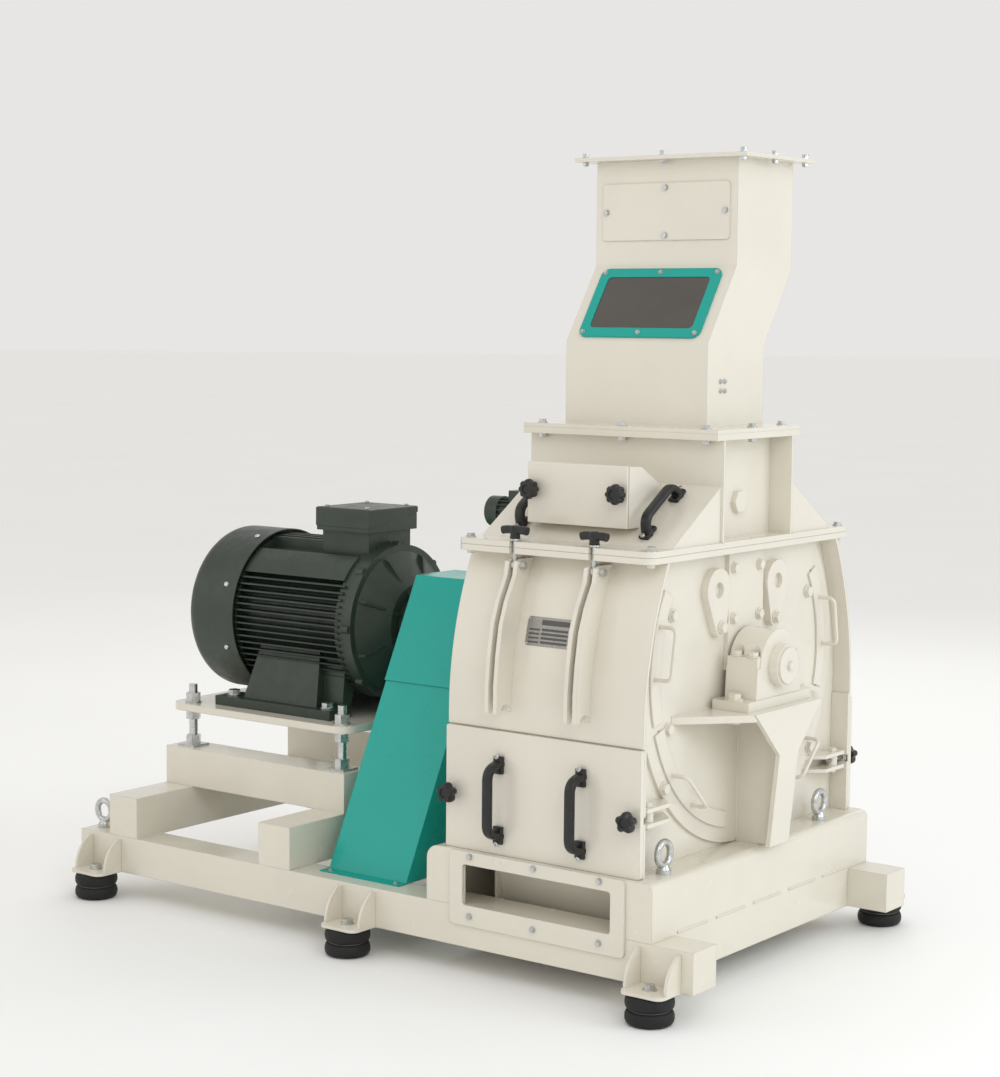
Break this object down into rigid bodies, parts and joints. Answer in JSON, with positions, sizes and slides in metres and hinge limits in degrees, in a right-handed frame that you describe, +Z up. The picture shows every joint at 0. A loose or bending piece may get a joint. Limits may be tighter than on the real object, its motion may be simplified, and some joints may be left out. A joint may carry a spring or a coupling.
{
  "type": "hammer mill",
  "caption": "Hammer mill for grain: round-sided drum with top inlet chute and access panels, on a rail frame with rubber feet, driven by an electric motor through a guarded coupling",
  "frame": {"origin": "on the floor, under the middle of the machine's length and width", "axes": "+X along the rotor shaft from the motor to the free bearing, +Y to the back, +Z up; -Y is the operator's side"},
  "size_m": [2.01, 1.2296, 2.012],
  "materials": {
    "ivory_paint": "gloss ivory paint",
    "ivory_frame": "gloss ivory paint",
    "teal_paint": "satin teal paint",
    "motor_paint": "dark grey-green paint on cast iron",
    "black_plastic": "matte black",
    "zinc": "zinc plated",
    "steel": "machined",
    "hard_steel": "dark hardened",
    "rubber": "matte black",
    "dark_glass": "clear polycarbonate, dark behind",
    "fan_plastic": "black nylon",
    "core": "laminated sheet"
  },
  "bodies": {
    "machine": {"side_rails": "ivory_frame", "cross_members": "ivory_frame", "mill_base": "ivory_frame", "foot_brackets": "ivory_frame", "isolator_feet": "rubber", "lifting_eyes": "zinc", "base_hatch_frames": "ivory_frame", "motor_plate": "ivory_frame", "levelling_studs": "zinc", "motor_frame": "motor_paint", "motor_end_shields": "motor_paint", "fan_cowl": "motor_paint", "terminal_box": "motor_paint", "stator_core": "core", "shaft_bearings": "steel", "side_walls": "ivory_paint", "drum_top_plate": "ivory_paint", "front_shell": "ivory_paint", "back_shell": "ivory_paint", "plummer_blocks": "ivory_paint", "bearing_shelves": "ivory_paint", "wear_plates": "hard_steel", "inlet_box": "ivory_paint", "hatch_handles": "black_plastic", "flap_gearmotor": "motor_paint", "chute": "ivory_paint", "window_frame": "teal_paint", "window_pane": "dark_glass", "guard_lower": "teal_paint", "guard_cap": "teal_paint", "bolts": "zinc"},
    "motor_rotor": {"motor_shaft": "steel", "motor_rotor_core": "core", "cooling_fan": "fan_plastic", "motor_coupling_hub": "steel"},
    "mill_rotor": {"rotor_shaft": "steel", "rotor_discs": "hard_steel", "hammer_pins": "hard_steel", "hammers": "hard_steel", "rotor_coupling_hub": "steel", "coupling_spider": "rubber"},
    "front_access_panel": {"front_panel": "ivory_paint", "front_panel_handles": "black_plastic"},
    "clamp_screw_front_left_body": {"clamp_screw_front_left": "black_plastic"},
    "clamp_screw_front_right_body": {"clamp_screw_front_right": "black_plastic"},
    "t_bolt_front_left_body": {"t_bolt_front_left": "black_plastic"},
    "t_bolt_front_right_body": {"t_bolt_front_right": "black_plastic"},
    "front_magnet_drawer": {"front_drawer": "ivory_paint"},
    "screen_front_upper_body": {"screen_front_upper": "ivory_paint"},
    "screen_front_lower_body": {"screen_front_lower": "ivory_paint"},
    "back_access_panel": {"back_panel": "ivory_paint", "back_panel_handles": "black_plastic"},
    "clamp_screw_back_left_body": {"clamp_screw_back_left": "black_plastic"},
    "clamp_screw_back_right_body": {"clamp_screw_back_right": "black_plastic"},
    "t_bolt_back_left_body": {"t_bolt_back_left": "black_plastic"},
    "t_bolt_back_right_body": {"t_bolt_back_right": "black_plastic"},
    "back_magnet_drawer": {"back_drawer": "ivory_paint"},
    "screen_back_upper_body": {"screen_back_upper": "ivory_paint"},
    "screen_back_lower_body": {"screen_back_lower": "ivory_paint"},
    "inlet_flap_body": {"inlet_flap": "steel"}
  },
  "joints": [
    {"name": "rotor_spin", "type": "hinge", "parent": "machine", "child": "mill_rotor", "pos_m": [0.563, 0, 0.76], "axis": [1, 0, 0], "continuous": true},
    {"name": "motor_spin", "type": "hinge", "parent": "machine", "child": "motor_rotor", "pos_m": [-0.437, 0, 0.76], "axis": [1, 0, 0], "continuous": true},
    {"name": "front_panel_lift_off", "type": "slide", "parent": "machine", "child": "front_access_panel", "axis": [0, -1, 0], "range_m": [0, 0.3]},
    {"name": "clamp_screw_front_left_turn", "type": "hinge", "parent": "front_access_panel", "child": "clamp_screw_front_left_body", "pos_m": [0.301, -0.52, 0.447], "axis": [0, -1, 0], "continuous": true},
    {"name": "clamp_screw_front_right_turn", "type": "hinge", "parent": "front_access_panel", "child": "clamp_screw_front_right_body", "pos_m": [0.825, -0.52, 0.447], "axis": [0, -1, 0], "continuous": true},
    {"name": "t_bolt_front_left_swing", "type": "hinge", "parent": "machine", "child": "t_bolt_front_left_body", "pos_m": [0.448, -0.458, 1.008], "axis": [1, 0, 0], "range_deg": [0, 110]},
    {"name": "t_bolt_front_right_swing", "type": "hinge", "parent": "machine", "child": "t_bolt_front_right_body", "pos_m": [0.678, -0.458, 1.008], "axis": [1, 0, 0], "range_deg": [0, 110]},
    {"name": "front_drawer_slide", "type": "slide", "parent": "machine", "child": "front_magnet_drawer", "axis": [0, -1, 0], "range_m": [0, 0.2]},
    {"name": "screen_front_upper_slide", "type": "slide", "parent": "machine", "child": "screen_front_upper_body", "axis": [1, 0, 0], "range_m": [0, 0.46]},
    {"name": "screen_front_lower_slide", "type": "slide", "parent": "machine", "child": "screen_front_lower_body", "axis": [1, 0, 0], "range_m": [0, 0.46]},
    {"name": "back_panel_lift_off", "type": "slide", "parent": "machine", "child": "back_access_panel", "axis": [0, 1, 0], "range_m": [0, 0.3]},
    {"name": "clamp_screw_back_left_turn", "type": "hinge", "parent": "back_access_panel", "child": "clamp_screw_back_left_body", "pos_m": [0.301, 0.52, 0.447], "axis": [0, 1, 0], "continuous": true},
    {"name": "clamp_screw_back_right_turn", "type": "hinge", "parent": "back_access_panel", "child": "clamp_screw_back_right_body", "pos_m": [0.825, 0.52, 0.447], "axis": [0, 1, 0], "continuous": true},
    {"name": "t_bolt_back_left_swing", "type": "hinge", "parent": "machine", "child": "t_bolt_back_left_body", "pos_m": [0.448, 0.458, 1.008], "axis": [-1, 0, 0], "range_deg": [0, 110]},
    {"name": "t_bolt_back_right_swing", "type": "hinge", "parent": "machine", "child": "t_bolt_back_right_body", "pos_m": [0.678, 0.458, 1.008], "axis": [-1, 0, 0], "range_deg": [0, 110]},
    {"name": "back_drawer_slide", "type": "slide", "parent": "machine", "child": "back_magnet_drawer", "axis": [0, 1, 0], "range_m": [0, 0.2]},
    {"name": "screen_back_upper_slide", "type": "slide", "parent": "machine", "child": "screen_back_upper_body", "axis": [1, 0, 0], "range_m": [0, 0.46]},
    {"name": "screen_back_lower_slide", "type": "slide", "parent": "machine", "child": "screen_back_lower_body", "axis": [1, 0, 0], "range_m": [0, 0.46]},
    {"name": "inlet_flap_turn", "type": "hinge", "parent": "machine", "child": "inlet_flap_body", "pos_m": [0.563, 0, 1.152], "axis": [1, 0, 0], "range_deg": [-40, 40]}
  ],
  "couplings": [
    {"joint": "motor_spin", "follows": "rotor_spin", "ratio": 1}
  ]
}
